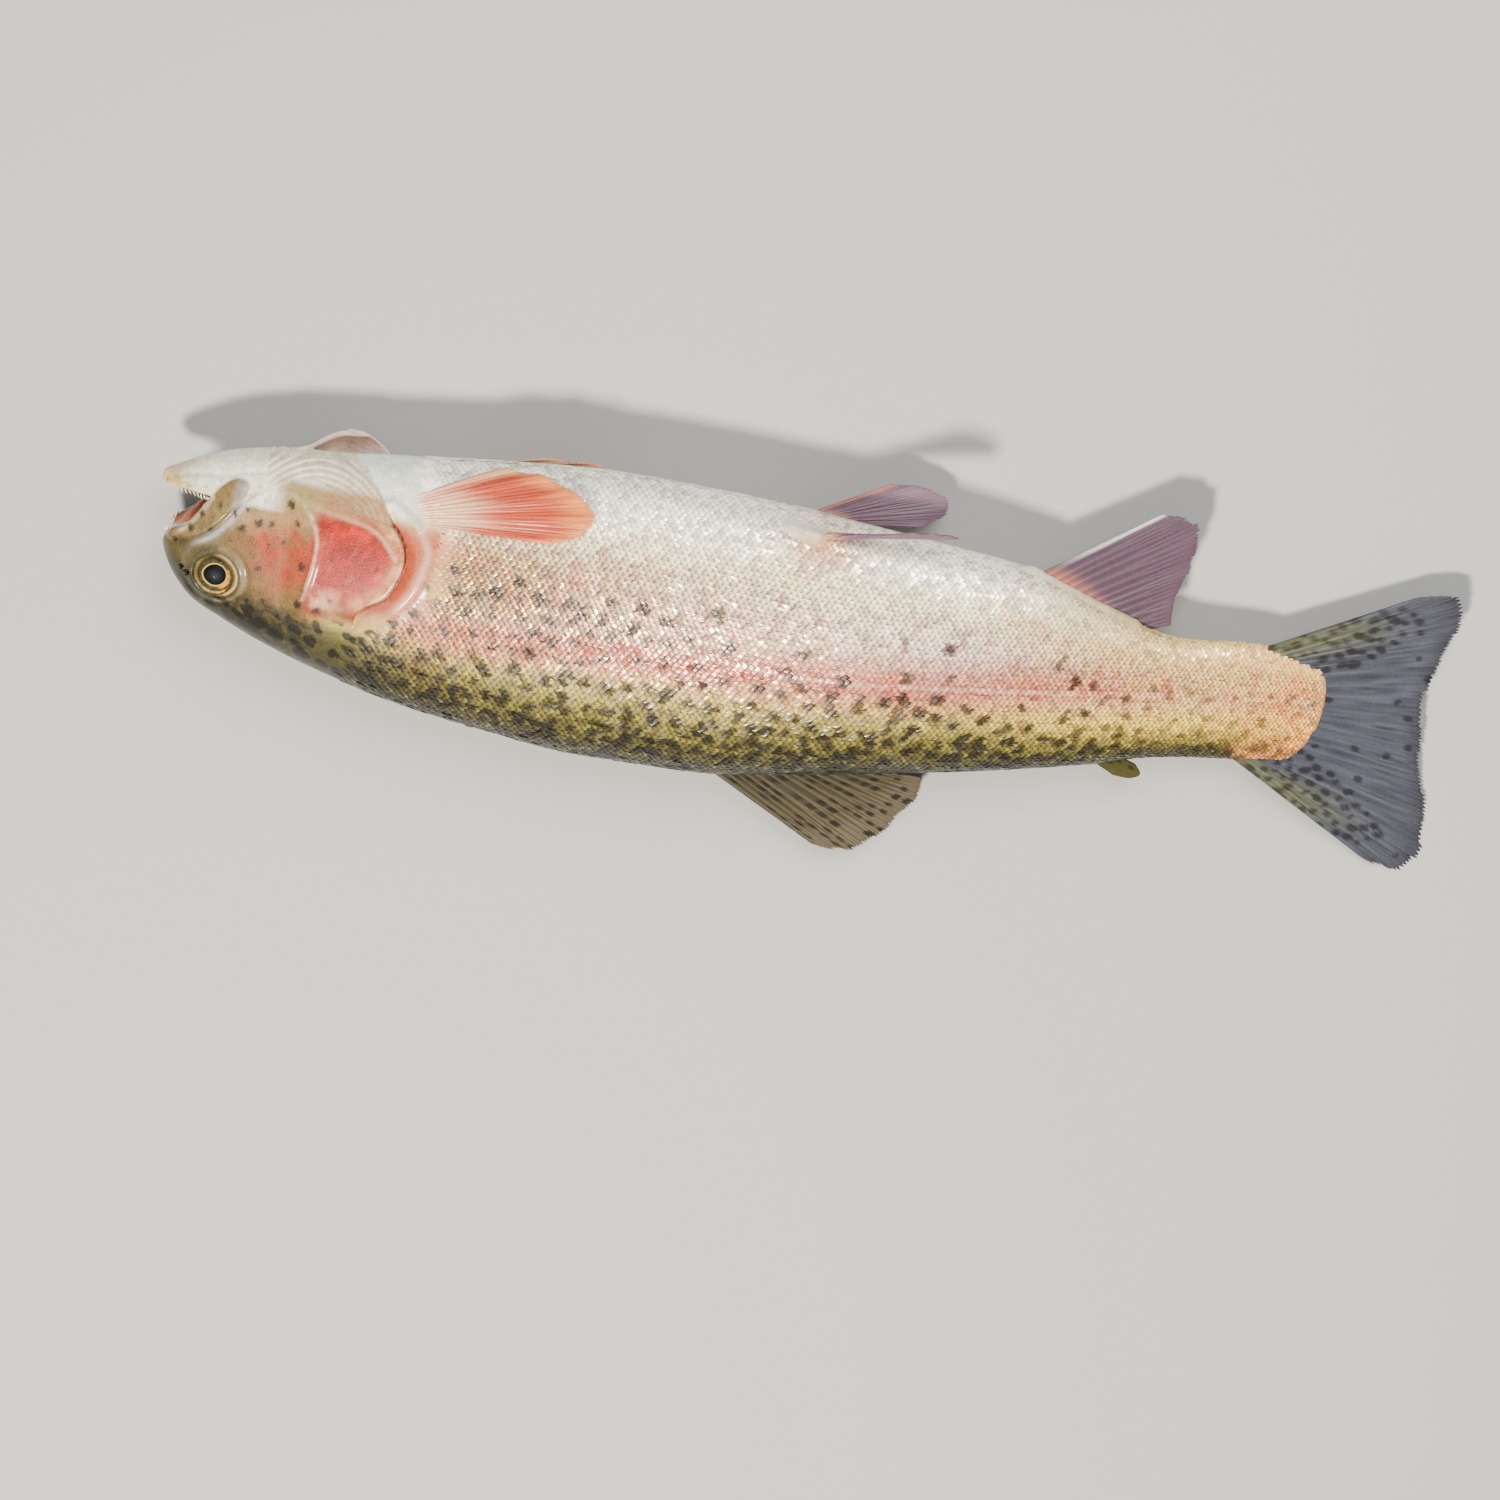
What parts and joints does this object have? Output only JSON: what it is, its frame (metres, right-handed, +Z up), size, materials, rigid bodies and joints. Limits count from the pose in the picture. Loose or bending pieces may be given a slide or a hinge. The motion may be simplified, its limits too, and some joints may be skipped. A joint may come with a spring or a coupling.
{
  "type": "rainbow trout",
  "caption": "Life-size rainbow trout lying on its left side, mouth a little open, right flank up, with all its fins.",
  "frame": {"origin": "on the floor under the middle of the fish's box", "axes": "+X from the snout to the tail, +Y from the back to the belly, +Z up, out of the right flank"},
  "size_m": [0.3812, 0.1192, 0.0423],
  "materials": {
    "skin": "wet scaled skin, olive green above with black spots, a pink stripe, silvery white below",
    "gill_cover": "wet skin over thin bone, coral red with a pale purplish rim",
    "mouth": "moist, pale throat and mouth lining",
    "fins": "thin translucent membrane over rays, grey olive",
    "pectoral_fins": "thin translucent membrane over rays, coral red",
    "eyes": "clear wet cornea over a dark pupil and a brass yellow iris"
  },
  "bodies": {
    "root": {"cranium": "skin", "maxilla_right": "skin", "maxilla_left": "skin", "lower_jaw": "mouth", "tongue": "mouth", "throat": "mouth", "gill_cover_right": "gill_cover", "gill_cover_left": "gill_cover", "gill_membrane_right": "mouth", "gill_membrane_left": "mouth", "eye_right": "eyes", "eye_left": "eyes", "shoulder": "skin", "trunk_front": "skin", "trunk_middle": "skin", "trunk_rear": "skin", "tail_peduncle": "skin", "dorsal_fin": "fins", "adipose_fin": "fins", "anal_fin": "fins", "caudal_fin": "fins", "pelvic_fin_left": "fins", "pelvic_fin_right": "fins", "pectoral_fin_right": "pectoral_fins", "pectoral_fin_left": "pectoral_fins"}
  },
  "joints": []
}
